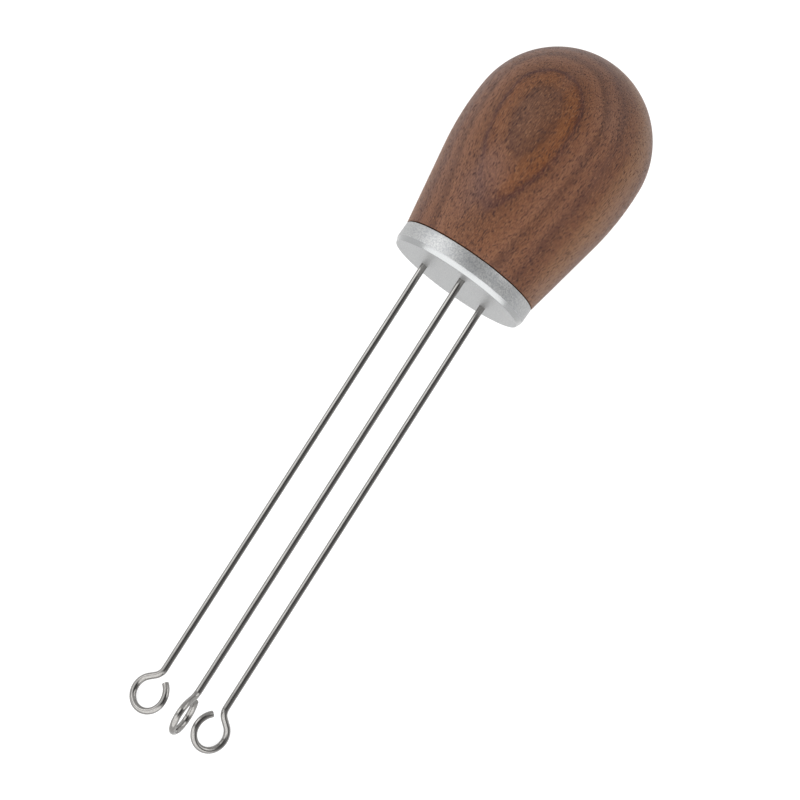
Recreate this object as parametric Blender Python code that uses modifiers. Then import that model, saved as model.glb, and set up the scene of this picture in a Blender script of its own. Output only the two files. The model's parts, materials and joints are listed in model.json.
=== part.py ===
"""Espresso stirring tool (three-wire distribution tool), lying on a table as it rests.

Every piece is modelled in the tool's own frame: the origin is the middle of the disc's working face,
+Z runs up the axis to the top of the knob, and +Y is the side that faces up when the tool lies down.
An empty then lays the whole tool on its belly, with the lower loops touching the table.
"""

import math

import bpy
from mathutils import Matrix, Vector

MM = 0.001
CLEARANCE = 0.3 * MM  # gap between a piece and the one it seats in
KNOB_SEAM = 0.2 * MM  # gap between the disc's back and the knob's foot

# Aluminium disc
DISC_RADIUS = 14.3 * MM
DISC_THICKNESS = 4.1 * MM
BEVEL_HEIGHT = 1.05 * MM
BEVEL_INSET = 0.45 * MM
BACK_EDGE_BREAK = 0.15 * MM
SPIGOT_RADIUS = 5.2 * MM
SPIGOT_HEIGHT = 5.0 * MM
STUD_HOLE_FLOOR = 1.6 * MM  # metal left under the blind hole

# Walnut knob: straight taper, belly arc, ball-shaped dome
KNOB_BASE_RADIUS = 14.36 * MM
TAPER_ANGLE = math.radians(10.1)
TAPER_TOP = 20.75 * MM
DOME_RADIUS = 18.1 * MM
KNOB_TOP = 51.6 * MM
INSERT_BORE_RADIUS = 5.9 * MM
INSERT_BORE_TOP = 25.0 * MM
DRILL_POINT_HEIGHT = 2.4 * MM

# Joining hardware: M6 stud in a brass wood insert
THREAD_PITCH = 1.0 * MM
STUD_RADIUS = 3.0 * MM
STUD_ROOT_RADIUS = 2.45 * MM
STUD_BOTTOM = 2.2 * MM
STUD_LENGTH = 20.0 * MM
STUD_CHAMFER = 0.7 * MM
SOCKET_WIDTH = 3.0 * MM  # across the flats of the hexagon socket
SOCKET_DEPTH = 3.0 * MM
INSERT_RADIUS = 5.0 * MM
INSERT_RIDGE_RADIUS = 5.55 * MM
INSERT_BOTTOM = 10.2 * MM
INSERT_LENGTH = 13.0 * MM
INSERT_RIDGES = 5
RIDGE_UPPER_FLANK = 0.35  # shares of the ridges' spacing
RIDGE_LOWER_FLANK = 0.2
INSERT_BORE_CHAMFER = 0.6 * MM

# Spring wires, each ending in an open loop
WIRE_RADIUS = 0.65 * MM
WIRE_CIRCLE_RADIUS = 7.85 * MM
WIRE_HOLE_CLEARANCE = 0.15 * MM
WIRE_HOLE_CUTTER_LENGTH = 8.0 * MM  # centred on the working face
WIRE_LEAN = math.radians(2.8)  # all three stand off the disc's normal, towards -X
LEAN_BEND_RADIUS = 30.0 * MM
TAIL_HEIGHT = 3.4 * MM  # the hooked tail's centre line above the working face
TAIL_BEND_RADIUS = 1.2 * MM
TAIL_REACH = 3.6 * MM
TAIL_SLOT_FLOOR = 2.0 * MM
LOOP_RADIUS = 3.35 * MM
LOOP_END_RADIUS = 4.0 * MM
LOOP_END_SWEEP = math.radians(53)
NECK_BEND_RADIUS = 2.4 * MM
NECK_ANGLE = math.radians(52)
# name: (place round the disc, turn of the loop's plane off the radius, face to middle of loop)
WIRES = {
    "top_wire": (math.radians(90), math.radians(-18.3), 95.1 * MM),
    "right_wire": (math.radians(210), math.radians(-6.3), 95.1 * MM),
    "left_wire": (math.radians(330), math.radians(-2.3), 95.7 * MM),
}

ROUND_STEPS = 72
SMALL_ROUND_STEPS = 32
WIRE_HOLE_STEPS = 16
DOME_STEPS = 16
BELLY_STEPS = 6
LEAN_STEPS = 3
WIRE_BEVEL_RESOLUTION = 2
WIRE_ARC_STEP = math.radians(15)
WELD_DISTANCE = 0.00001
SMOOTH_ANGLE = math.radians(35)
LAY_ANGLE_LIMIT = math.radians(15)
BISECTION_STEPS = 40
SETTLING_PASSES = 4


def clear_scene():
    """Remove every object of the open scene."""
    for old in list(bpy.data.objects):
        bpy.data.objects.remove(old, do_unlink=True)


def make_collection(name):
    """Link a new collection to the scene."""
    collection = bpy.data.collections.new(name)
    bpy.context.scene.collection.children.link(collection)
    return collection


def make_material(name, colour, roughness, metallic):
    """A Principled material of one colour."""
    material = bpy.data.materials.new(name)
    material.use_nodes = True
    shader = material.node_tree.nodes["Principled BSDF"]
    shader.inputs["Base Color"].default_value = (*colour, 1)
    shader.inputs["Roughness"].default_value = roughness
    shader.inputs["Metallic"].default_value = metallic
    return material


def add_object(name, data, collection, material=None):
    """Link an object for the given mesh or curve."""
    made = bpy.data.objects.new(name, data)
    collection.objects.link(made)
    if material:
        data.materials.append(material)
    return made


def arc_points(centre, radius, start, end, steps):
    """Points of an arc in a plane, both ends included, angles from the first axis."""
    angles = [start + (end - start) * i / steps for i in range(steps + 1)]
    return [(centre[0] + radius * math.cos(a), centre[1] + radius * math.sin(a)) for a in angles]


def turned(name, profile, collection, material=None, steps=ROUND_STEPS):
    """A turned solid: the (radius, height) profile, spun once about Z with a Screw modifier."""
    mesh = bpy.data.meshes.new(name)
    points = [(radius, 0, height) for radius, height in profile]
    edges = [(i, i + 1) for i in range(len(points) - 1)]
    mesh.from_pydata(points, edges, [])
    made = add_object(name, mesh, collection, material)
    spin = made.modifiers.new("spin", "SCREW")
    spin.axis = "Z"
    spin.angle = math.tau
    spin.screw_offset = 0
    spin.steps = spin.render_steps = steps
    spin.use_merge_vertices = True
    spin.merge_threshold = WELD_DISTANCE
    return made


def take_cutter(name, collection):
    """Name the primitive that has just been added, and set it up as a cutter."""
    cutter = bpy.context.object
    cutter.name = name
    for old in list(cutter.users_collection):
        old.objects.unlink(cutter)
    collection.objects.link(cutter)
    cutter.hide_render = True
    cutter.display_type = "WIRE"
    return cutter


def cut(target, cutter):
    """Take the cutter's shape out of the target with a Boolean."""
    boolean = target.modifiers.new(f"cut_{cutter.name}", "BOOLEAN")
    boolean.operation = "DIFFERENCE"
    boolean.solver = "EXACT"
    boolean.object = cutter


def finish_turned(made):
    """Apply the modifiers, then shade the round sides smooth and keep the edges crisp."""
    profile = made.data
    evaluated = made.evaluated_get(bpy.context.evaluated_depsgraph_get())
    mesh = bpy.data.meshes.new_from_object(evaluated)
    made.modifiers.clear()
    made.data = mesh
    bpy.data.meshes.remove(profile)
    mesh.name = made.name
    mesh.shade_smooth()
    mesh.set_sharp_from_angle(angle=SMOOTH_ANGLE)


def knob_arcs():
    """The belly arc that is tangent to the taper and the dome: its centre, radius and upper end.

    Returns the centre's radius and height, the arc's radius, the height of the dome's centre and the
    angle at which the two arcs meet.
    """
    dome_z = KNOB_TOP - DOME_RADIUS
    seat = DISC_THICKNESS + KNOB_SEAM
    taper_end = Vector((KNOB_BASE_RADIUS + (TAPER_TOP - seat) * math.tan(TAPER_ANGLE), TAPER_TOP))
    normal = Vector((math.cos(TAPER_ANGLE), -math.sin(TAPER_ANGLE)))
    across = taper_end - Vector((0, dome_z))
    arc_radius = (across.length_squared - DOME_RADIUS**2) / 2 / (across.dot(normal) - DOME_RADIUS)
    centre = taper_end - normal * arc_radius
    meet_angle = math.atan2(dome_z - centre.y, -centre.x)
    return centre.x, centre.y, arc_radius, dome_z, meet_angle


def knob_profile():
    """The knob's outline from the top of the dome down its side, across its foot and up the bore."""
    belly_x, belly_z, belly_radius, dome_z, meet_angle = knob_arcs()
    dome = arc_points((0, dome_z), DOME_RADIUS, math.pi / 2, meet_angle, DOME_STEPS)
    dome[0] = (0, dome_z + DOME_RADIUS)
    belly = arc_points((belly_x, belly_z), belly_radius, meet_angle, -TAPER_ANGLE, BELLY_STEPS)
    seat = DISC_THICKNESS + KNOB_SEAM
    foot = [(KNOB_BASE_RADIUS, seat), (INSERT_BORE_RADIUS, seat)]
    bore = [(INSERT_BORE_RADIUS, INSERT_BORE_TOP), (0, INSERT_BORE_TOP + DRILL_POINT_HEIGHT)]
    return dome + belly[1:] + foot + bore


def make_knob(collection, material):
    """The walnut knob with its blind bore."""
    knob = turned("knob", knob_profile(), collection, material)
    finish_turned(knob)
    return knob


def insert_profile():
    """The brass insert: a sleeve with a ridged outside, chamfered at both ends of its bore."""
    top = INSERT_BOTTOM + INSERT_LENGTH
    bore = STUD_RADIUS + CLEARANCE
    pitch = INSERT_LENGTH / (INSERT_RIDGES + 1)
    outside = [(INSERT_RADIUS, top)]
    for i in range(INSERT_RIDGES):
        crest = top - pitch * (i + 1)
        outside += [
            (INSERT_RADIUS, crest + pitch * RIDGE_UPPER_FLANK),
            (INSERT_RIDGE_RADIUS, crest),
            (INSERT_RADIUS, crest - pitch * RIDGE_LOWER_FLANK),
        ]
    outside.append((INSERT_RADIUS, INSERT_BOTTOM))
    inside = [
        (bore + INSERT_BORE_CHAMFER, INSERT_BOTTOM),
        (bore, INSERT_BOTTOM + INSERT_BORE_CHAMFER),
        (bore, top - INSERT_BORE_CHAMFER),
        (bore + INSERT_BORE_CHAMFER, top),
    ]
    return outside + inside + [outside[0]]


def make_insert(collection, material):
    """The brass insert that is pressed into the knob's bore."""
    insert = turned("threaded_insert", insert_profile(), collection, material, SMALL_ROUND_STEPS)
    finish_turned(insert)
    return insert


def stud_profile():
    """The stud from its top to its bottom: a chamfered rod with a thread form of crests and roots."""
    top = STUD_BOTTOM + STUD_LENGTH
    profile = [(0, top), (STUD_RADIUS - STUD_CHAMFER, top)]
    turns = round((STUD_LENGTH - 2 * STUD_CHAMFER) / THREAD_PITCH)
    threaded = turns * THREAD_PITCH
    first_crest = top - (STUD_LENGTH - threaded) / 2
    for i in range(turns):
        crest = first_crest - i * THREAD_PITCH
        profile += [(STUD_RADIUS, crest), (STUD_ROOT_RADIUS, crest - THREAD_PITCH / 2)]
    profile.append((STUD_RADIUS, first_crest - threaded))
    profile += [(STUD_RADIUS - STUD_CHAMFER, STUD_BOTTOM), (0, STUD_BOTTOM)]
    return profile


def make_stud(collection, material, cutters):
    """The steel stud, with a hexagon socket in its upper end."""
    stud = turned("stud", stud_profile(), collection, material, SMALL_ROUND_STEPS)
    bpy.ops.mesh.primitive_cylinder_add(
        vertices=6,
        radius=SOCKET_WIDTH / 2 / math.cos(math.pi / 6),
        depth=2 * SOCKET_DEPTH,
        location=(0, 0, STUD_BOTTOM + STUD_LENGTH),
    )
    cut(stud, take_cutter("stud_socket_cutter", cutters))
    finish_turned(stud)
    return stud


def disc_profile():
    """The disc and its spigot, from the blind hole's floor round the outside to the working face."""
    hole = STUD_RADIUS + CLEARANCE
    spigot_top = DISC_THICKNESS + SPIGOT_HEIGHT
    return [
        (0, STUD_HOLE_FLOOR),
        (hole, STUD_HOLE_FLOOR),
        (hole, spigot_top),
        (SPIGOT_RADIUS, spigot_top),
        (SPIGOT_RADIUS, DISC_THICKNESS),
        (DISC_RADIUS - BACK_EDGE_BREAK, DISC_THICKNESS),
        (DISC_RADIUS, DISC_THICKNESS - BACK_EDGE_BREAK),
        (DISC_RADIUS, BEVEL_HEIGHT),
        (DISC_RADIUS - BEVEL_INSET, 0),
        (0, 0),
    ]


def make_disc(collection, material, cutters):
    """The aluminium disc, drilled for the wires and slotted at the back for their tails."""
    disc = turned("disc", disc_profile(), collection, material)
    hole_radius = WIRE_RADIUS + WIRE_HOLE_CLEARANCE
    slot_inner = WIRE_CIRCLE_RADIUS - hole_radius
    slot_outer = WIRE_CIRCLE_RADIUS + TAIL_REACH + CLEARANCE
    slot_height = 2 * (DISC_THICKNESS - TAIL_SLOT_FLOOR)
    for name, (place, _, _) in WIRES.items():
        outward = Vector((math.cos(place), math.sin(place), 0))
        bpy.ops.mesh.primitive_cylinder_add(
            vertices=WIRE_HOLE_STEPS,
            radius=hole_radius,
            depth=WIRE_HOLE_CUTTER_LENGTH,
            location=outward * WIRE_CIRCLE_RADIUS,
        )
        cut(disc, take_cutter(f"{name}_hole_cutter", cutters))
        bpy.ops.mesh.primitive_cube_add(
            size=1,
            location=outward * (slot_inner + slot_outer) / 2 + Vector((0, 0, DISC_THICKNESS)),
            rotation=(0, 0, place),
            scale=(slot_outer - slot_inner, 2 * hole_radius, slot_height),
        )
        cut(disc, take_cutter(f"{name}_slot_cutter", cutters))
    finish_turned(disc)
    return disc


def loop_outline():
    """The wire's end in its own plane: (outward, along the wire) from the end of the straight stem."""
    straight = LOOP_RADIUS * math.cos(NECK_ANGLE) - NECK_BEND_RADIUS * (1 - math.cos(NECK_ANGLE))
    straight /= math.sin(NECK_ANGLE)
    neck_steps = math.ceil(NECK_ANGLE / WIRE_ARC_STEP)
    neck = arc_points(
        (NECK_BEND_RADIUS, 0), NECK_BEND_RADIUS, math.pi, math.pi - NECK_ANGLE, neck_steps
    )
    meet = (
        neck[-1][0] + straight * math.sin(NECK_ANGLE),
        neck[-1][1] + straight * math.cos(NECK_ANGLE),
    )
    centre = (
        meet[0] - LOOP_RADIUS * math.cos(NECK_ANGLE),
        meet[1] + LOOP_RADIUS * math.sin(NECK_ANGLE),
    )
    round_steps = math.ceil((NECK_ANGLE + math.pi) / WIRE_ARC_STEP)
    ring = arc_points(centre, LOOP_RADIUS, -NECK_ANGLE, math.pi, round_steps)
    end_centre = (centre[0] - LOOP_RADIUS + LOOP_END_RADIUS, centre[1])
    end_steps = math.ceil(LOOP_END_SWEEP / WIRE_ARC_STEP)
    end = arc_points(
        end_centre, LOOP_END_RADIUS, math.pi, math.pi + LOOP_END_SWEEP, end_steps
    )
    return neck + ring + end[1:], centre[1]


def wire_path(place, loop_turn, loop_reach):
    """The wire's centre line: hooked tail, straight stay in the disc, lean, stem and open loop."""
    outward = Vector((math.cos(place), math.sin(place), 0))
    up = Vector((0, 0, 1))
    seat = outward * WIRE_CIRCLE_RADIUS
    bend_steps = math.ceil(math.pi / 2 / WIRE_ARC_STEP)
    tail = [(TAIL_REACH, TAIL_HEIGHT)] + arc_points(
        (TAIL_BEND_RADIUS, TAIL_HEIGHT - TAIL_BEND_RADIUS),
        TAIL_BEND_RADIUS,
        math.pi / 2,
        math.pi,
        bend_steps,
    )
    points = [seat + outward * across + up * height for across, height in tail]
    lean_to = Vector((-1, 0, 0))
    lean = [
        lean_to * LEAN_BEND_RADIUS * (1 - math.cos(a)) - up * LEAN_BEND_RADIUS * math.sin(a)
        for a in (WIRE_LEAN * i / LEAN_STEPS for i in range(LEAN_STEPS + 1))
    ]
    points += [seat + step for step in lean]
    along = lean_to * math.sin(WIRE_LEAN) - up * math.cos(WIRE_LEAN)
    facing = place + loop_turn
    loop_out = Vector((math.cos(facing), math.sin(facing), 0))
    loop_out = (loop_out - along * loop_out.dot(along)).normalized()
    outline, centre_along = loop_outline()
    stem_length = loop_reach - centre_along - LEAN_BEND_RADIUS * WIRE_LEAN
    stem_end = points[-1] + along * stem_length
    points += [stem_end + loop_out * across + along * down for across, down in outline]
    return points


def make_wire(name, collection, material):
    """One stainless wire as a bevelled poly curve."""
    path = wire_path(*WIRES[name])
    curve = bpy.data.curves.new(name, "CURVE")
    curve.dimensions = "3D"
    curve.bevel_depth = WIRE_RADIUS
    curve.bevel_resolution = WIRE_BEVEL_RESOLUTION
    curve.use_fill_caps = True
    spline = curve.splines.new("POLY")
    spline.points.add(len(path) - 1)
    for point, place_on_path in zip(spline.points, path):
        point.co = (*place_on_path, 1)
    wire = add_object(name, curve, collection, material)
    weld = wire.modifiers.new("weld_caps", "WELD")
    weld.merge_threshold = WELD_DISTANCE
    return wire


def bisect(height, low, high):
    """The value between low and high where a falling function crosses zero."""
    for _ in range(BISECTION_STEPS):
        middle = (low + high) / 2
        if height(middle) > 0:
            low = middle
        else:
            high = middle
    return (low + high) / 2


def resting_pose():
    """The matrix that lays the tool down, +Z to +X and +Y up, on its belly and two lower loops."""
    belly_x, belly_z, belly_radius, dome_z, _ = knob_arcs()
    centre_lines = {name: wire_path(*place) for name, place in WIRES.items()}

    def turned_down(roll, tilt):
        lay_down = Matrix(((0, 0, 1, 0), (1, 0, 0, 0), (0, 1, 0, 0), (0, 0, 0, 1)))
        return Matrix.Rotation(-tilt, 4, "Y") @ lay_down @ Matrix.Rotation(roll, 4, "Z")

    def wire_height(name, roll, tilt):
        matrix = turned_down(roll, tilt)
        return min((matrix @ point).z for point in centre_lines[name]) - WIRE_RADIUS

    def belly_height(tilt):
        return belly_z * math.sin(tilt) - belly_x * math.cos(tilt) - belly_radius

    def loops_level(roll, tilt):
        return wire_height("left_wire", roll, tilt) - wire_height("right_wire", roll, tilt)

    def loops_above_belly(roll, tilt):
        return wire_height("left_wire", roll, tilt) - belly_height(tilt)

    roll = tilt = 0
    for _ in range(SETTLING_PASSES):
        roll = bisect(lambda turn: -loops_level(turn, tilt), -LAY_ANGLE_LIMIT, LAY_ANGLE_LIMIT)
        tilt = bisect(lambda turn: loops_above_belly(roll, turn), 0, LAY_ANGLE_LIMIT)
    laid = turned_down(roll, tilt)
    loop_end = min((laid @ p).x for line in centre_lines.values() for p in line) - WIRE_RADIUS
    dome_end = (laid @ Vector((0, 0, dome_z))).x + DOME_RADIUS
    shift = Vector((-(loop_end + dome_end) / 2, 0, -belly_height(tilt)))
    return Matrix.Translation(shift) @ laid


def build():
    """Model the pieces upright, then lay the tool down."""
    clear_scene()
    tool = make_collection("stirring_tool")
    cutters = make_collection("cutters")
    walnut = make_material("walnut", (0.19, 0.085, 0.045), 0.45, 0)
    aluminium = make_material("satin_aluminium", (0.62, 0.62, 0.61), 0.38, 1)
    steel = make_material("stainless_wire", (0.58, 0.57, 0.55), 0.22, 1)
    zinc = make_material("zinc_plated_steel", (0.5, 0.5, 0.52), 0.35, 1)
    brass = make_material("brass", (0.62, 0.44, 0.16), 0.3, 1)

    make_knob(tool, walnut)
    make_insert(tool, brass)
    make_disc(tool, aluminium, cutters)
    make_stud(tool, zinc, cutters)
    for name in WIRES:
        make_wire(name, tool, steel)

    axis = bpy.data.objects.new("tool_axis", None)
    for piece in list(tool.objects) + list(cutters.objects):
        piece.parent = axis
    tool.objects.link(axis)
    axis.matrix_world = resting_pose()


build()
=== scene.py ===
"""Studio scene of a coffee stirring tool: walnut knob, aluminium disc and three looped wires.

Every piece is modelled in the tool's own frame, with the disc's working face at the origin and +Z
up the axis to the top of the knob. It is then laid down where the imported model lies, on the belly
of the knob and two of the loops.
"""

import json
import math

import bpy
from mathutils import Matrix, Vector


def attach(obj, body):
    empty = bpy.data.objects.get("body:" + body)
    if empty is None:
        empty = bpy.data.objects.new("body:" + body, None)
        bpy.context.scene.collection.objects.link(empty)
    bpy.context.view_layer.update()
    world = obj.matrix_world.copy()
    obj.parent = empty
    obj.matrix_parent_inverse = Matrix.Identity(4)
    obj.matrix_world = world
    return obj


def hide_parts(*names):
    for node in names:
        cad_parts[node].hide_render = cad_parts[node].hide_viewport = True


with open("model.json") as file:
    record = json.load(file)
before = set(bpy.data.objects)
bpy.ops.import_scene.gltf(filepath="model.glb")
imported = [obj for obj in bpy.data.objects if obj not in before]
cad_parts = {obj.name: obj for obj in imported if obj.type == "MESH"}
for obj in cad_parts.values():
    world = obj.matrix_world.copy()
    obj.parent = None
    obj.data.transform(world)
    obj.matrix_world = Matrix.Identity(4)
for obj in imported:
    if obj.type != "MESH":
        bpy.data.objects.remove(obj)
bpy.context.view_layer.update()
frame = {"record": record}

MM = 0.001
SEAM = 0.2 * MM  # the dark seam between disc and knob
WELD_DISTANCE = 0.002 * MM  # joins the two ends of a spun outline

# Disc
DISC_RADIUS = 14.3 * MM
DISC_THICKNESS = 4.1 * MM
DISC_STEPS = 160
CHAMFER_HEIGHT = 1.05 * MM
CHAMFER_INSET = 0.45 * MM
CHAMFER_SLOPES = (0.1, 0.9)  # faces on the chamfer look down by this much, where 1 is straight down
EDGE_ROUND = 0.06 * MM
EDGE_STEPS = 3
BACK_EDGE_ROUND = 0.12 * MM
BACK_EDGE_STEPS = 4
SPIGOT_RADIUS = 5.2 * MM
SPIGOT_TOP = 9.1 * MM
STUD_HOLE_RADIUS = 3.3 * MM
STUD_HOLE_FLOOR = 1.6 * MM
STUD_HOLE_BREAK = 0.18 * MM
WIRE_HOLE_GAP = 0.04 * MM
WIRE_HOLE_CUTTER_LENGTH = 8.0 * MM  # centred on the working face
WIRE_HOLE_SIDES = 32
TAIL_SLOT_FLOOR = 2.0 * MM
TAIL_SLOT_PLAY = 0.2 * MM

# Knob
KNOB_FOOT_RADIUS = 14.36 * MM
KNOB_FOOT_ROUND = 0.15 * MM
TAPER_ANGLE = math.radians(10.1)
TAPER_TOP = 20.75 * MM
DOME_RADIUS = 18.1 * MM
KNOB_TOP = 51.6 * MM
BORE_RADIUS = 5.9 * MM
BORE_TOP = 25.0 * MM
BORE_RINGS = (4 / 6, 2 / 6, 1 / 6)  # edge loops on the bore's wall, as shares of its top
KNOB_STEPS = 144
FOOT_STEPS = 4
TAPER_STEPS = 12
BELLY_STEPS = 16
DOME_STEPS = 48

# Stud and insert; the rings are the edge loops that the threads are pressed into
SKIN_TOLERANCE = 0.02 * MM
GROOVE_STEEPNESS = 1.25  # over 1, so that the bottom of the groove is flat
STUD_RADIUS = 3.0 * MM
STUD_BOTTOM = 2.2 * MM
STUD_LENGTH = 20.0 * MM
STUD_THREAD_DEPTH = 0.55 * MM
STUD_PITCH = 1.0 * MM
STUD_CHAMFER = 0.7 * MM
STUD_RINGS = 200
STUD_STEPS = 40
SOCKET_WIDTH = 3.0 * MM
SOCKET_DEPTH = 3.0 * MM
INSERT_RADIUS = 5.55 * MM
INSERT_THREAD_DEPTH = 0.6 * MM
INSERT_PITCH = 2.2 * MM
INSERT_BOTTOM = 10.2 * MM
INSERT_LENGTH = 13.0 * MM
INSERT_BORE_RADIUS = 3.3 * MM
INSERT_BORE_CHAMFER = 0.6 * MM
INSERT_RINGS = 110
INSERT_STEPS = 48

# Wires: name, place round the disc, turn of the loop's plane off the radius, and the distance from
# the disc's face to the middle of the loop
WIRES = (
    ("top_wire", math.radians(90), math.radians(-18.3), 95.1 * MM),
    ("right_wire", math.radians(210), math.radians(-6.3), 95.1 * MM),
    ("left_wire", math.radians(330), math.radians(-2.3), 95.7 * MM),
)
WIRE_RADIUS = 0.65 * MM
WIRE_RESOLUTION = 10
WIRE_WELD_DISTANCE = 0.001 * MM
WIRE_END_ROUND = 0.14 * MM
WIRE_END_SEGMENTS = 3
WIRE_CIRCLE_RADIUS = 7.85 * MM
WIRE_LEAN = math.radians(2.8)
LEAN_BEND_RADIUS = 30.0 * MM
LEAN_STEPS = 6
STEM_STEPS = 24
TAIL_HEIGHT = 3.4 * MM
TAIL_BEND_RADIUS = 1.2 * MM
TAIL_BEND_STEPS = 8
TAIL_REACH = 3.6 * MM
LOOP_RADIUS = 3.35 * MM
LOOP_STEPS = 48
LOOP_END_RADIUS = 4.0 * MM
LOOP_END_SWEEP = math.radians(53)
LOOP_END_STEPS = 12
NECK_BEND_RADIUS = 2.4 * MM
NECK_ANGLE = math.radians(52)
NECK_STEPS = 12

# How the tool lies: its roll on the table
LAY_ROLL = math.radians(1.553)

# The camera, in the tool's frame: its bearing round the axis, its height angle on the loops' side
CAMERA_BEARING = math.radians(86.26)
CAMERA_HEIGHT_ANGLE = math.radians(6.62)
CAMERA_ROLL = math.radians(35.39)
CAMERA_DISTANCE = 505.9 * MM
CAMERA_LENS = 121.4  # lens and sensor in millimetres
CAMERA_SENSOR = 36.0
AIM_ACROSS = 4.0 * MM
AIM_ALONG = -24.07 * MM


# ---------------------------------------------------------------- placing

def tool_matrix():
    """The tool's frame in the world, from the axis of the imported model's joint."""
    joint = next(j for j in frame["record"]["behaviour"]["joints"] if j["type"] == "hinge")
    axis = Vector(joint["axis"]).normalized()
    across = Vector((0, 1, 0))
    up = axis.cross(across)
    laid = Matrix((across, up, axis)).transposed().to_4x4()
    return Matrix.Translation(joint["pos_m"]) @ laid @ Matrix.Rotation(LAY_ROLL, 4, "Z")


TOOL = tool_matrix()


def lay_down(piece):
    """Put a piece made in the tool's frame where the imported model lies, by moving its mesh."""
    piece.data.transform(TOOL @ piece.matrix_world)
    piece.matrix_world = Matrix.Identity(4)


def make_camera():
    """The camera looks down on the tool, from the wires' side of the disc."""
    toward = Vector((math.cos(CAMERA_BEARING), math.sin(CAMERA_BEARING), 0))
    axis = Vector((0, 0, 1))
    forward = axis * math.sin(CAMERA_HEIGHT_ANGLE) - toward * math.cos(CAMERA_HEIGHT_ANGLE)
    up = axis * math.cos(CAMERA_HEIGHT_ANGLE) + toward * math.sin(CAMERA_HEIGHT_ANGLE)
    right = forward.cross(up)
    place = right * AIM_ACROSS + axis * AIM_ALONG - forward * CAMERA_DISTANCE
    facing = Matrix((right, up, -forward)).transposed().to_4x4()
    bpy.ops.object.camera_add()
    camera = bpy.context.object
    camera.matrix_world = (
        TOOL @ Matrix.Translation(place) @ facing @ Matrix.Rotation(CAMERA_ROLL, 4, "Z")
    )
    camera.data.lens = CAMERA_LENS
    camera.data.sensor_width = CAMERA_SENSOR
    bpy.context.scene.camera = camera


# ---------------------------------------------------------------- modelling helpers

def choose(piece):
    """Make a piece the active one, and the only one selected."""
    bpy.ops.object.select_all(action="DESELECT")
    piece.select_set(True)
    bpy.context.view_layer.objects.active = piece


def edit(piece):
    """Open a piece in edit mode, with all its vertices selected."""
    choose(piece)
    bpy.ops.object.mode_set(mode="EDIT")
    bpy.ops.mesh.select_mode(type="VERT")
    bpy.ops.mesh.select_all(action="SELECT")


def leave_edit():
    bpy.ops.object.mode_set(mode="OBJECT")


def arc(centre, radius, start, end, steps):
    """Points of an arc, both ends included, angles from the first axis."""
    angles = [start + (end - start) * i / steps for i in range(steps + 1)]
    return [(centre[0] + radius * math.cos(a), centre[1] + radius * math.sin(a)) for a in angles]


def spun(name, outline, steps):
    """A turned solid: an outline of (radius, height), drawn by extruding a vertex and spun.

    A plane merged to its middle gives the first vertex.
    """
    radius, height = outline[0]
    bpy.ops.mesh.primitive_plane_add(size=MM, location=(0, 0, 0))
    piece = bpy.context.object
    piece.name = name
    edit(piece)
    bpy.ops.mesh.merge(type="CENTER")
    bpy.ops.transform.translate(value=(radius, 0, height))
    for (r0, z0), (r1, z1) in zip(outline, outline[1:]):
        step = (r1 - r0, 0, z1 - z0)
        bpy.ops.mesh.extrude_region_move(TRANSFORM_OT_translate={"value": step})
    bpy.ops.mesh.select_all(action="SELECT")
    bpy.ops.mesh.spin(steps=steps, angle=math.tau, center=(0, 0, 0), axis=(0, 0, 1))
    bpy.ops.mesh.select_all(action="SELECT")
    bpy.ops.mesh.remove_doubles(threshold=WELD_DISTANCE)
    bpy.ops.mesh.normals_make_consistent(inside=False)
    leave_edit()
    return piece


def shade(piece, crisp_from):
    """Smooth the round sides, and keep the edges crisp from that angle in degrees."""
    choose(piece)
    bpy.ops.object.shade_smooth_by_angle(angle=math.radians(crisp_from))


def cut_out(piece, cutters):
    """Take the cutters out of a piece, and clear them away."""
    choose(piece)
    for cutter in cutters:
        boolean = piece.modifiers.new("cut", "BOOLEAN")
        boolean.object = cutter
        boolean.solver = "EXACT"
        bpy.ops.object.modifier_apply(modifier=boolean.name)
        bpy.data.objects.remove(cutter)


def cut_thread(piece, radius, depth, pitch, bottom, top):
    """Press a helical thread into the skin of that radius, fading out over a pitch at both ends."""
    for vertex in piece.data.vertices:
        x, y, z = vertex.co
        away = math.hypot(x, y)
        if abs(away - radius) > SKIN_TOLERANCE or not bottom <= z <= top:
            continue
        turn = (z / pitch - math.atan2(y, x) / math.tau) % 1
        groove = min(1, GROOVE_STEEPNESS * (1 - abs(2 * turn - 1)))
        fade = min(1, (z - bottom) / pitch, (top - z) / pitch)
        factor = (radius - depth * groove * fade) / away
        vertex.co = (x * factor, y * factor, z)


# ---------------------------------------------------------------- materials

# Outputs of the texture coordinate node
GENERATED = 0
OBJECT = 3


class Value:
    """A shader socket that takes part in Python expressions."""

    def __init__(self, shader, socket):
        self.shader = shader
        self.socket = socket

    def _math(self, operation, *inputs):
        return self.shader.node("Math", dict(enumerate(inputs)), operation=operation)[0]

    def __add__(self, other):
        return self._math("ADD", self, other)

    __radd__ = __add__

    def __sub__(self, other):
        return self._math("SUBTRACT", self, other)

    def __rsub__(self, other):
        return self._math("SUBTRACT", other, self)

    def __mul__(self, other):
        return self._math("MULTIPLY", self, other)

    def __truediv__(self, other):
        return self._math("DIVIDE", self, other)

    def root(self):
        return self._math("SQRT", self)

    def at_least(self, other):
        return self._math("MAXIMUM", self, other)


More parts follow.
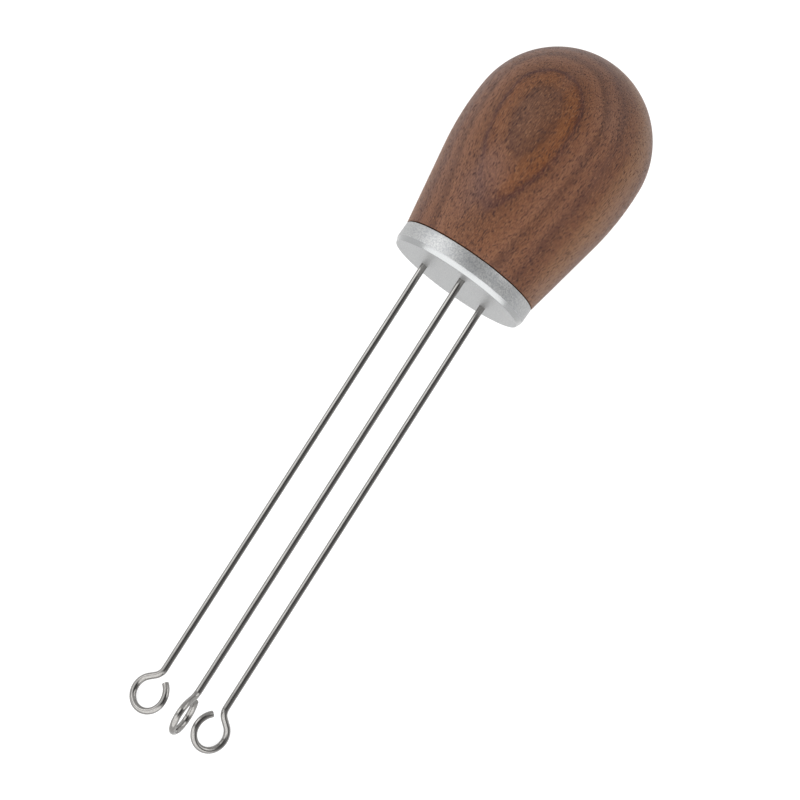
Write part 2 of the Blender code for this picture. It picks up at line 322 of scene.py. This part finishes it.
class Shader:
    """The node tree of a material or of the studio's world, with its shader at the end."""

    def __init__(self, owner, end="Principled BSDF"):
        self.owner = owner
        owner.use_nodes = True
        self.tree = owner.node_tree
        self.end = self.tree.nodes[end]

    def _feed(self, socket, value):
        if isinstance(value, Value):
            self.tree.links.new(value.socket, socket)
        else:
            socket.default_value = value

    def node(self, kind, inputs=None, **settings):
        """Add a node, set it up, fill its inputs, and return its outputs as values."""
        made = self.tree.nodes.new(f"ShaderNode{kind}")
        for key, value in settings.items():
            setattr(made, key, value)
        for key, value in (inputs or {}).items():
            self._feed(made.inputs[key], value)
        return [Value(self, socket) for socket in made.outputs]

    def set(self, **inputs):
        """Feed the shader at the end; spaces in socket names are written as underscores."""
        for key, value in inputs.items():
            self._feed(self.end.inputs[key.replace("_", " ")], value)

    def tool_coordinates(self):
        """Object coordinates turned into the tool's own frame, in millimetres."""
        inverse = TOOL.inverted()
        place = self.node("TexCoord")[OBJECT]
        scaled = self.stretched(place, (1 / MM, 1 / MM, 1 / MM))
        turn = inverse.to_euler()
        shift = inverse.to_translation() / MM
        return self.node("Mapping", {"Vector": scaled, "Rotation": turn, "Location": shift})[0]

    def stretched(self, place, scale, shift=(0, 0, 0)):
        return self.node("Mapping", {"Vector": place, "Scale": scale, "Location": shift})[0]

    def noise(self, place, scale, detail, roughness):
        inputs = {"Vector": place, "Scale": scale, "Detail": detail, "Roughness": roughness}
        return self.node("TexNoise", inputs)[0]

    def grain(self, place, across, along, detail, roughness, shift=(0, 0, 0)):
        """Noise with one scale across the tool's axis and another along it."""
        drawn = self.stretched(place, (across, across, along), shift)
        return self.noise(drawn, 1, detail, roughness)

    def split(self, place):
        return self.node("SeparateXYZ", {0: place})

    def band(self, value, low, high):
        """0 on low's side, 1 on high's side, smooth in between."""
        inputs = {"Value": value, "From Min": low, "From Max": high}
        return self.node("MapRange", inputs, interpolation_type="SMOOTHSTEP")[0]

    def mix(self, factor, first, second):
        """Blend two colours, through the node's colour sockets."""
        return self.node("Mix", {0: factor, 6: first, 7: second}, data_type="RGBA")[2]

    def ramp(self, position, stops):
        """A colour ramp through stops of (position, colour)."""
        colour_out = self.node("ValToRGB", {"Fac": position})[0]
        elements = colour_out.socket.node.color_ramp.elements
        while len(elements) < len(stops):
            elements.new(1)
        for element, (where, tone) in zip(elements, stops):
            element.position = where
            element.color = tone
        return colour_out

    def bump(self, height, distance, strength):
        inputs = {"Height": height, "Distance": distance, "Strength": strength}
        return self.node("Bump", inputs)[0]


def new_finish(name):
    """A new material to build a finish in."""
    return Shader(bpy.data.materials.new(name))


def metal(shader, tone, roughness, marks, depth, strength):
    """Close a finish as bare metal, with marks of that depth in its skin."""
    normal = shader.bump(marks, depth, strength)
    shader.set(Base_Color=tone, Metallic=1.0, Roughness=roughness, Normal=normal)
    return shader.owner


def linear(channel):
    """A display level of 0 to 255 in the linear values that shaders use."""
    level = channel / 255
    return level / 12.92 if level <= 0.04045 else ((level + 0.055) / 1.055) ** 2.4


def colour(*channels):
    """A display colour of three levels, as shaders take it."""
    return (*map(linear, channels), 1)


# Walnut: the look of the oiled wood by depth below the flat-sawn eye, in millimetres
WALNUT_TONES = (
    (0.0, (100, 70, 55)),
    (0.85, (98, 68, 53)),
    (1.1, (86, 58, 43)),
    (1.3, (111, 73, 50)),
    (1.9, (112, 72, 49)),
    (2.2, (98, 63, 43)),
    (2.42, (68, 45, 35)),
    (2.7, (102, 69, 52)),
    (3.4, (113, 77, 58)),
    (4.6, (122, 85, 66)),
    (5.15, (95, 66, 53)),
    (5.7, (99, 69, 56)),
    (6.6, (119, 83, 65)),
    (7.6, (108, 75, 60)),
    (8.4, (92, 63, 52)),
    (9.8, (106, 72, 55)),
    (11.4, (108, 73, 55)),
    (13.0, (124, 88, 64)),
    (16.0, (128, 94, 70)),
    (19.0, (116, 83, 63)),
    (21.0, (102, 72, 56)),
    (23.0, (121, 86, 64)),
    (26.5, (106, 74, 58)),
    (30.0, (124, 88, 66)),
    (34.0, (104, 72, 57)),
    (40.0, (118, 83, 62)),
)
DEEPEST = WALNUT_TONES[-1][0]
EYE_BEARING = math.radians(63.4)
EYE_SURFACE = 18.2  # millimetres from the axis to the eye
PITH_DISTANCE = 120.0  # millimetres from the eye out to the middle of the rings
RING_HEIGHT = 50.0  # from here the rings lean to the pith, slant aside and bulge with the height
RING_LEAN = 0.064
RING_SLANT = 0.52
RING_BARREL = 0.00263
SWAY_AT_EYE = 0.4  # how far the rings wander at the eye, and how much more with their depth
SWAY_DEEPER = 0.16
RIPPLE_AT_EYE = 0.2
RIPPLE_DEEPER = 0.05
MINERAL_CENTRE = (8.0, 14.5, 17.0)  # the middle of the cool patch, in millimetres
MINERAL_RADII = (5.0, 6.0, 10.0)
MINERAL_SWAY = 0.6
MINERAL_RIPPLE = 0.5

# Noise in the wood: scale across the grain, scale along it, detail, roughness
NOISE_MIDDLE = 0.5
SWAY = (0.10, 0.035, 2, 0.45)
RIPPLE = (0.7, 0.08, 3, 0.6)
COOL = (0.12, 0.05, 2, 0.5)
COOL_SHIFT = (3, 7, 1)
GLOW = (0.16, 0.05, 2, 0.5)
STREAK = (1.3, 0.045, 4, 0.65)
FIBRE = (5.2, 1.2, 3, 0.75)
PORE = (5.0, 1.0, 1, 0.4)
CROWD = (0.35, 0.1, 1, 0.5)
CROWDING = 0.15

# Stains over the rings: the field's values at no stain and at full stain, strength, tone
COOL_STAIN = (0.5, 0.75, 0.35, (112, 84, 74))
MINERAL_STAIN = (1.15, 0.3, 0.6, (114, 85, 76))
GLOW_STAIN = (0.5, 0.75, 0.3, (124, 80, 50))
STREAK_STAIN = (0.48, 0.72, 0.3, (96, 66, 52))
LIGHT_FIBRES = (0.5, 0.67, 0.55, (144, 105, 80))
DARK_FIBRES = (0.5, 0.34, 0.55, (76, 51, 39))
PORE_BAND = (0.55, 0.67)
PORE_STRENGTH = 0.7
PORE_TONE = (56, 38, 30)

LIGHT_ON_WOOD = 1.28
SHEEN_ON_WOOD = 0.022
DARKEST_WOOD = 0.004


def oiled(tone):
    """The wood's own colour for a tone as it looks in the studio, under its sheen."""
    own = [(linear(channel) - SHEEN_ON_WOOD) / LIGHT_ON_WOOD for channel in tone]
    return (*(max(DARKEST_WOOD, channel) for channel in own), 1)


def ring_depth(x, y, z, sway, ripple):
    """Depth of the growth rings: barrels round a pith outside the knob, in front of the eye."""
    facing, aside = math.cos(EYE_BEARING), math.sin(EYE_BEARING)
    height = z - RING_HEIGHT
    to_pith = EYE_SURFACE + PITH_DISTANCE - (x * facing + y * aside) - height * RING_LEAN
    across = y * facing - x * aside + height * RING_SLANT
    rings = (to_pith * to_pith + across * across).root() - PITH_DISTANCE
    rings = rings - height * height * RING_BARREL
    swaying = sway * (SWAY_AT_EYE + rings * SWAY_DEEPER)
    rippling = ripple * (RIPPLE_AT_EYE + rings * RIPPLE_DEEPER)
    return rings + swaying + rippling


def walnut():
    """Oiled walnut: flat-sawn figure round an eye, streaks along the grain and open pores."""
    shader = new_finish("walnut")
    place = shader.tool_coordinates()
    sway = shader.grain(place, *SWAY) - NOISE_MIDDLE
    ripple = shader.grain(place, *RIPPLE) - NOISE_MIDDLE
    depth = ring_depth(*shader.split(place), sway, ripple)
    stops = [(below / DEEPEST, oiled(tone)) for below, tone in WALNUT_TONES]
    toned = shader.ramp(depth / DEEPEST, stops)

    def stained(under, field, low, high, strength, tone):
        return shader.mix(shader.band(field, low, high) * strength, under, oiled(tone))

    # a cool mineral patch beside the eye, and warm and dark streaks along the grain
    sizes = [1 / radius for radius in MINERAL_RADII]
    shift = [-centre / radius for centre, radius in zip(MINERAL_CENTRE, MINERAL_RADII)]
    x, y, z = shader.split(shader.stretched(place, sizes, shift))
    away = (x * x + y * y + z * z).root() + sway * MINERAL_SWAY + ripple * MINERAL_RIPPLE
    toned = stained(toned, shader.grain(place, *COOL, shift=COOL_SHIFT), *COOL_STAIN)
    toned = stained(toned, away, *MINERAL_STAIN)
    toned = stained(toned, shader.grain(place, *GLOW), *GLOW_STAIN)
    toned = stained(toned, shader.grain(place, *STREAK), *STREAK_STAIN)

    # fibres and open pores
    fibre = shader.grain(place, *FIBRE)
    toned = stained(toned, fibre, *LIGHT_FIBRES)
    toned = stained(toned, fibre, *DARK_FIBRES)
    crowding = (shader.grain(place, *CROWD) - NOISE_MIDDLE) * CROWDING
    pores = shader.band(shader.grain(place, *PORE) + crowding, *PORE_BAND)
    toned = shader.mix(pores * PORE_STRENGTH, toned, oiled(PORE_TONE))

    relief = fibre * 0.25 - pores
    shader.set(
        Base_Color=toned,
        Roughness=0.5 + pores * 0.25 - fibre * 0.06,
        Normal=shader.bump(relief, distance=0.04 * MM, strength=0.6),
        IOR=1.42,
        Specular_IOR_Level=0.35,
    )
    return shader.owner


def blasted_aluminium():
    """Bead-blasted aluminium: a fine even grain over light cloudiness."""
    shader = new_finish("blasted_aluminium")
    place = shader.tool_coordinates()
    grain = shader.noise(place, scale=3.4, detail=3, roughness=0.75)
    cloud = shader.noise(place, scale=0.35, detail=2, roughness=0.5)
    grains = shader.band(grain, low=0.36, high=0.64)
    clouds = shader.band(cloud, low=0.4, high=0.7) * 0.25
    tone = shader.mix(grains, colour(142, 143, 144), colour(174, 174, 173))
    tone = shader.mix(clouds, tone, colour(146, 148, 152))
    return metal(shader, tone, 0.38 + grain * 0.14, marks=grain, depth=0.03 * MM, strength=0.5)


def turned_aluminium():
    """Bright aluminium left by a sharp tool: faint rings round the axis."""
    shader = new_finish("turned_aluminium")
    marks_per_mm = 14
    x, y, z = shader.split(shader.tool_coordinates())
    away = (x * x + y * y).root()
    turned = shader.node("CombineXYZ", {0: away * marks_per_mm, 1: z * marks_per_mm})[0]
    marks = shader.noise(turned, scale=1, detail=2, roughness=0.6)
    tone = shader.mix(marks, colour(140, 141, 141), colour(156, 157, 157))
    return metal(shader, tone, 0.16 + marks * 0.14, marks=marks, depth=0.01 * MM, strength=0.5)


def drawn_wire():
    """Polished stainless wire with faint die lines along it."""
    shader = new_finish("drawn_wire")
    place = shader.tool_coordinates()
    lines = shader.grain(place, across=7, along=0.25, detail=2, roughness=0.6)
    smudge = shader.noise(place, scale=0.6, detail=2, roughness=0.5)
    bright = shader.band(lines, low=0.35, high=0.7)
    tone = shader.mix(bright, colour(120, 118, 116), colour(138, 136, 133))
    polish = 0.08 + lines * 0.08 + smudge * 0.06
    return metal(shader, tone, polish, marks=lines, depth=0.01 * MM, strength=0.4)


def sheared_steel():
    """The wires' cut ends: dull steel with shear lines."""
    shader = new_finish("sheared_steel")
    streaked = shader.stretched(shader.tool_coordinates(), (2, 14, 2))
    lines = shader.noise(streaked, scale=1, detail=2, roughness=0.6)
    tone = shader.mix(lines, colour(120, 119, 118), colour(140, 139, 138))
    return metal(shader, tone, 0.4 + lines * 0.15, marks=lines, depth=0.02 * MM, strength=0.5)


def zinc_plate():
    """Bright zinc on the stud, with a bluish and yellowish bloom."""
    shader = new_finish("zinc_plate")
    place = shader.tool_coordinates()
    bloom = shader.noise(place, scale=0.5, detail=3, roughness=0.5)
    grain = shader.noise(place, scale=6, detail=2, roughness=0.5)
    yellowish = shader.band(bloom, low=0.35, high=0.65)
    tone = shader.mix(yellowish, colour(188, 194, 202), colour(206, 202, 190))
    return metal(shader, tone, 0.24 + grain * 0.14, marks=grain, depth=0.01 * MM, strength=0.4)


def turned_brass():
    """Machined brass of the insert, slightly tarnished in patches."""
    shader = new_finish("turned_brass")
    marks_per_mm = 8
    place = shader.tool_coordinates()
    height = shader.split(place)[2]
    turned = shader.node("CombineXYZ", {0: height * marks_per_mm})[0]
    marks = shader.noise(turned, scale=1, detail=2, roughness=0.6)
    tarnish = shader.noise(place, scale=0.4, detail=3, roughness=0.55)
    dull = shader.band(tarnish, low=0.4, high=0.7)
    tone = shader.mix(dull, colour(214, 178, 104), colour(180, 140, 78))
    polish = 0.22 + marks * 0.12 + tarnish * 0.1
    return metal(shader, tone, polish, marks=marks, depth=0.01 * MM, strength=0.5)


# ---------------------------------------------------------------- pieces

def knob_outline():
    """From the flat end of the bore down and out across the foot, up the side and over the dome.

    The belly is the arc that runs smoothly out of the straight taper and into the ball of the dome.
    """
    dome_z = KNOB_TOP - DOME_RADIUS
    seat = DISC_THICKNESS + SEAM
    taper_end = Vector((KNOB_FOOT_RADIUS + (TAPER_TOP - seat) * math.tan(TAPER_ANGLE), TAPER_TOP))
    normal = Vector((math.cos(TAPER_ANGLE), -math.sin(TAPER_ANGLE)))
    across = taper_end - Vector((0, dome_z))
    belly_radius = (across.length_squared - DOME_RADIUS**2) / 2
    belly_radius /= across.dot(normal) - DOME_RADIUS
    centre = taper_end - normal * belly_radius
    meet = math.atan2(dome_z - centre.y, -centre.x)

    foot = (KNOB_FOOT_RADIUS - KNOB_FOOT_ROUND, seat + KNOB_FOOT_ROUND)
    outline = [(0, BORE_TOP), (BORE_RADIUS, BORE_TOP)]
    outline += [(BORE_RADIUS, seat + BORE_TOP * share) for share in BORE_RINGS]
    outline += [(BORE_RADIUS, seat), ((BORE_RADIUS + KNOB_FOOT_RADIUS) / 2, seat)]
    outline += arc(foot, KNOB_FOOT_ROUND, -math.pi / 2, -TAPER_ANGLE, FOOT_STEPS)
    start = Vector(outline[-1])
    taper = [start.lerp(taper_end, step / TAPER_STEPS) for step in range(1, TAPER_STEPS)]
    outline += [tuple(point) for point in taper]
    outline += arc(centre, belly_radius, -TAPER_ANGLE, meet, BELLY_STEPS)
    outline += arc((0, dome_z), DOME_RADIUS, meet, math.pi / 2, DOME_STEPS)[1:-1]
    outline.append((0, KNOB_TOP))
    return outline


def make_knob():
    """The walnut knob."""
    knob = spun("walnut_knob", knob_outline(), KNOB_STEPS)
    shade(knob, crisp_from=40)
    knob.data.materials.append(walnut())
    lay_down(knob)
    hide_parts("knob")
    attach(knob, "handle")


def disc_outline():
    """From the blind hole's floor up its wall, over the spigot, down the back and over the face."""
    spigot_edge = (SPIGOT_RADIUS - EDGE_ROUND, SPIGOT_TOP - EDGE_ROUND)
    back_edge = (DISC_RADIUS - BACK_EDGE_ROUND, DISC_THICKNESS - BACK_EDGE_ROUND)
    shoulder = Vector((DISC_RADIUS, CHAMFER_HEIGHT))
    face_edge = Vector((DISC_RADIUS - CHAMFER_INSET, 0))
    along_chamfer = (face_edge - shoulder).normalized() * EDGE_ROUND
    outline = [
        (0, STUD_HOLE_FLOOR),
        (STUD_HOLE_RADIUS, STUD_HOLE_FLOOR),
        (STUD_HOLE_RADIUS, SPIGOT_TOP - STUD_HOLE_BREAK),
        (STUD_HOLE_RADIUS + STUD_HOLE_BREAK, SPIGOT_TOP),
    ]
    outline += arc(spigot_edge, EDGE_ROUND, math.pi / 2, 0, EDGE_STEPS)
    outline.append((SPIGOT_RADIUS, DISC_THICKNESS))
    outline += arc(back_edge, BACK_EDGE_ROUND, math.pi / 2, 0, BACK_EDGE_STEPS)
    outline.append((DISC_RADIUS, CHAMFER_HEIGHT + EDGE_ROUND))
    outline += [tuple(shoulder + along_chamfer), tuple(face_edge - along_chamfer)]
    outline += [(face_edge.x - EDGE_ROUND, 0), (DISC_RADIUS / 2, 0), (0, 0)]
    return outline


def wire_cutters(bearing):
    """The cutters for one wire in the disc: a round hole, and a slot for the hooked tail."""
    hole_radius = WIRE_RADIUS + WIRE_HOLE_GAP
    outward = Vector((math.cos(bearing), math.sin(bearing), 0))
    seat = outward * WIRE_CIRCLE_RADIUS
    bpy.ops.mesh.primitive_cylinder_add(
        vertices=WIRE_HOLE_SIDES,
        radius=hole_radius,
        depth=WIRE_HOLE_CUTTER_LENGTH,
        location=seat,
    )
    hole = bpy.context.object
    length = TAIL_REACH + hole_radius + TAIL_SLOT_PLAY
    width = 2 * hole_radius + TAIL_SLOT_PLAY
    middle = seat + outward * (length / 2 - hole_radius) + Vector((0, 0, DISC_THICKNESS))
    bpy.ops.mesh.primitive_cube_add(size=1, location=middle, rotation=(0, 0, bearing))
    slot = bpy.context.object
    slot.scale = (length, width, 2 * (DISC_THICKNESS - TAIL_SLOT_FLOOR))
    bpy.ops.object.transform_apply(location=False, rotation=False, scale=True)
    return [hole, slot]


def make_disc():
    """The aluminium disc, with its bright chamfer, wire holes and tail slots."""
    disc = spun("aluminium_disc", disc_outline(), DISC_STEPS)
    cut_out(disc, [cutter for _, bearing, _, _ in WIRES for cutter in wire_cutters(bearing)])
    shade(disc, crisp_from=25)
    disc.data.materials.append(blasted_aluminium())
    disc.data.materials.append(turned_aluminium())
    least, most = CHAMFER_SLOPES
    for face in disc.data.polygons:
        sloping = 0 < face.center.z < CHAMFER_HEIGHT and least < -face.normal.z < most
        if sloping and math.hypot(*face.center.xy) > DISC_RADIUS - 2 * CHAMFER_INSET:
            face.material_index = 1
    lay_down(disc)
    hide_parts("disc")
    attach(disc, "head")


def loop_outline():
    """The wire's end in its own plane, and how far along the wire the middle of its loop is.

    The points are (outward, along the wire) from the end of the straight stem.
    """
    straight = LOOP_RADIUS * math.cos(NECK_ANGLE) - NECK_BEND_RADIUS * (1 - math.cos(NECK_ANGLE))
    straight /= math.sin(NECK_ANGLE)
    bend = (NECK_BEND_RADIUS, 0)
    neck = arc(bend, NECK_BEND_RADIUS, math.pi, math.pi - NECK_ANGLE, NECK_STEPS)
    meet = (
        neck[-1][0] + straight * math.sin(NECK_ANGLE),
        neck[-1][1] + straight * math.cos(NECK_ANGLE),
    )
    centre = (
        meet[0] - LOOP_RADIUS * math.cos(NECK_ANGLE),
        meet[1] + LOOP_RADIUS * math.sin(NECK_ANGLE),
    )
    ring = arc(centre, LOOP_RADIUS, -NECK_ANGLE, math.pi, LOOP_STEPS)
    end_centre = (centre[0] - LOOP_RADIUS + LOOP_END_RADIUS, centre[1])
    end_angle = math.pi + LOOP_END_SWEEP
    end = arc(end_centre, LOOP_END_RADIUS, math.pi, end_angle, LOOP_END_STEPS)
    return neck + ring + end[1:], centre[1]


def wire_path(bearing, loop_turn, loop_reach):
    """The wire's centre line: hooked tail, straight stay in the disc, lean, stem and open loop."""
    outward = Vector((math.cos(bearing), math.sin(bearing), 0))
    up = Vector((0, 0, 1))
    seat = outward * WIRE_CIRCLE_RADIUS
    hook = (TAIL_BEND_RADIUS, TAIL_HEIGHT - TAIL_BEND_RADIUS)
    tail = [(TAIL_REACH, TAIL_HEIGHT)]
    tail += arc(hook, TAIL_BEND_RADIUS, math.pi / 2, math.pi, TAIL_BEND_STEPS)
    points = [seat + outward * across + up * height for across, height in tail]
    lean_to = Vector((-1, 0, 0))
    for step in range(LEAN_STEPS + 1):
        angle = WIRE_LEAN * step / LEAN_STEPS
        sideways = lean_to * LEAN_BEND_RADIUS * (1 - math.cos(angle))
        points.append(seat + sideways - up * LEAN_BEND_RADIUS * math.sin(angle))
    along = lean_to * math.sin(WIRE_LEAN) - up * math.cos(WIRE_LEAN)
    facing = bearing + loop_turn
    loop_out = Vector((math.cos(facing), math.sin(facing), 0))
    loop_out = (loop_out - along * loop_out.dot(along)).normalized()
    outline, centre_along = loop_outline()
    stem_length = loop_reach - centre_along - LEAN_BEND_RADIUS * WIRE_LEAN
    stem = along * stem_length
    stem_end = points[-1] + stem
    points += [stem_end - stem * (1 - step / STEM_STEPS) for step in range(1, STEM_STEPS)]
    points += [stem_end + loop_out * across + along * down for across, down in outline]
    return points


def make_wire(name, bearing, loop_turn, loop_reach, materials):
    """One wire: a swept round bar with softened, cut ends."""
    path = wire_path(bearing, loop_turn, loop_reach)
    curve = bpy.data.curves.new(f"drawn_{name}", "CURVE")
    curve.dimensions = "3D"
    curve.bevel_depth = WIRE_RADIUS
    curve.bevel_resolution = WIRE_RESOLUTION
    curve.use_fill_caps = True
    spline = curve.splines.new("POLY")
    spline.points.add(len(path) - 1)
    for point, place in zip(spline.points, path):
        point.co = (*place, 1)
    wire = bpy.data.objects.new(curve.name, curve)
    bpy.context.scene.collection.objects.link(wire)
    choose(wire)
    bpy.ops.object.convert(target="MESH")
    wire = bpy.context.object
    for material in materials:
        wire.data.materials.append(material)
    edit(wire)
    bpy.ops.mesh.remove_doubles(threshold=WIRE_WELD_DISTANCE)
    bpy.ops.mesh.normals_make_consistent(inside=False)
    bpy.ops.mesh.select_mode(type="FACE")
    bpy.ops.mesh.select_all(action="DESELECT")
    leave_edit()
    for face in wire.data.polygons:
        face.select = len(face.vertices) > 4  # only the two ends have more than four corners
        face.material_index = 1 if face.select else 0
    bpy.ops.object.mode_set(mode="EDIT")
    bpy.ops.mesh.bevel(
        offset=WIRE_END_ROUND, segments=WIRE_END_SEGMENTS, affect="EDGES", material=1
    )
    leave_edit()
    shade(wire, crisp_from=40)
    lay_down(wire)
    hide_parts(name)
    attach(wire, "head")


def make_stud():
    """The zinc-plated stud with its thread and a hexagon socket in the upper end."""
    top = STUD_BOTTOM + STUD_LENGTH
    small = STUD_RADIUS - STUD_CHAMFER
    low, high = STUD_BOTTOM + STUD_CHAMFER, top - STUD_CHAMFER
    heights = [low + (high - low) * ring / STUD_RINGS for ring in range(STUD_RINGS + 1)]
    outline = [(0, STUD_BOTTOM), (small, STUD_BOTTOM)]
    outline += [(STUD_RADIUS, height) for height in heights]
    outline += [(small, top), (0, top)]
    stud = spun("zinc_stud", outline, STUD_STEPS)
    cut_thread(stud, STUD_RADIUS, STUD_THREAD_DEPTH, STUD_PITCH, low, high)
    bpy.ops.mesh.primitive_cylinder_add(
        vertices=6,
        radius=SOCKET_WIDTH / 2 / math.cos(math.radians(30)),
        depth=2 * SOCKET_DEPTH,
        location=(0, 0, top),
    )
    cut_out(stud, [bpy.context.object])
    shade(stud, crisp_from=50)
    stud.data.materials.append(zinc_plate())
    lay_down(stud)
    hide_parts("stud")
    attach(stud, "screw")


def make_insert():
    """The brass wood insert with its coarse outer thread."""
    top = INSERT_BOTTOM + INSERT_LENGTH
    wide = INSERT_BORE_RADIUS + INSERT_BORE_CHAMFER
    heights = [top - INSERT_LENGTH * ring / INSERT_RINGS for ring in range(INSERT_RINGS + 1)]
    outline = [(INSERT_BORE_RADIUS, top - INSERT_BORE_CHAMFER), (wide, top)]
    outline += [(INSERT_RADIUS, height) for height in heights]
    outline += [(wide, INSERT_BOTTOM), (INSERT_BORE_RADIUS, INSERT_BOTTOM + INSERT_BORE_CHAMFER)]
    outline.append(outline[0])
    insert = spun("brass_insert", outline, INSERT_STEPS)
    cut_thread(insert, INSERT_RADIUS, INSERT_THREAD_DEPTH, INSERT_PITCH, INSERT_BOTTOM, top)
    shade(insert, crisp_from=50)
    insert.data.materials.append(turned_brass())
    lay_down(insert)
    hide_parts("threaded_insert")
    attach(insert, "handle")


# ---------------------------------------------------------------- studio

FLOOR_SIZE = 3.0
FLOOR_GLOW = 0.75  # the floor is a pale sheet lit from below
FLOOR_TONE = 0.35
WALL_LIGHT = 1.1
WALL_COLOUR = (0.99, 0.995, 1.0, 1)
STRIP_LIGHT = 3.5
PANEL_LIGHT = 2.9
OPENING_LIGHT = 0.12
CORNER_LIGHT = 0.4

# Patches of the studio by direction, each edge as axis, value outside and value inside
STRIP = (
    ("y", 0.5, 0.6),
    ("z", 0.12, 0.24),
    ("z", 0.8, 0.66),
    ("x", -0.16, -0.08),
    ("x", 0.34, 0.24),
)
FRONT = (("x", -0.28, -0.38), ("z", 0.0, 0.08), ("z", 0.92, 0.84))
BACK = (("x", 0.26, 0.38), ("y", -0.2, -0.35), ("z", 0.25, 0.4))
CORNER = (("y", -0.2, -0.3), ("z", 0.04, 0.12), ("x", -0.2, -0.1), ("x", 0.4, 0.28))
OPENING = (
    ("y", 0.34, 0.2),
    ("y", -0.42, -0.3),
    ("z", 0.12, 0.2),
    ("x", -0.36, -0.26),
    ("x", 0.48, 0.34),
)


def make_floor():
    """A plain pale floor, lit from below so that shadows stay faint."""
    bpy.ops.mesh.primitive_plane_add(size=FLOOR_SIZE, location=(0, 0, 0))
    floor = bpy.context.object
    floor.name = "floor"
    shader = new_finish("floor_sheet")
    shader.set(
        Base_Color=(FLOOR_TONE, FLOOR_TONE, FLOOR_TONE, 1),
        Roughness=0.9,
        Specular_IOR_Level=0.0,
        Emission_Color=(1, 1, 1, 1),
        Emission_Strength=FLOOR_GLOW,
    )
    floor.data.materials.append(shader.owner)


def make_studio():
    """White walls, a strip on the left, two panels, a dark corner and a dark opening."""
    studio = Shader(bpy.data.worlds.new("studio"), "Background")
    bpy.context.scene.world = studio.owner
    direction = dict(zip("xyz", studio.split(studio.node("TexCoord")[GENERATED])))

    def patch(edges):
        """1 in the directions inside all the edges, 0 outside."""
        inside = 1
        for axis, outside, within in edges:
            inside = studio.band(direction[axis], outside, within) * inside
        return inside

    corner, opening = patch(CORNER), patch(OPENING)
    light = WALL_LIGHT + patch(STRIP) * (STRIP_LIGHT - WALL_LIGHT)
    light = light + patch(FRONT).at_least(patch(BACK)) * (PANEL_LIGHT - WALL_LIGHT)
    light = light * (1 - corner) + corner * CORNER_LIGHT
    light = light * (1 - opening) + opening * OPENING_LIGHT
    studio.set(Color=WALL_COLOUR, Strength=light)
    bpy.context.scene.view_settings.view_transform = "Standard"


make_camera()
make_knob()
make_disc()
wire_materials = (drawn_wire(), sheared_steel())
for wire_name, wire_bearing, wire_turn, wire_reach in WIRES:
    make_wire(wire_name, wire_bearing, wire_turn, wire_reach, wire_materials)
make_stud()
make_insert()
make_floor()
make_studio()
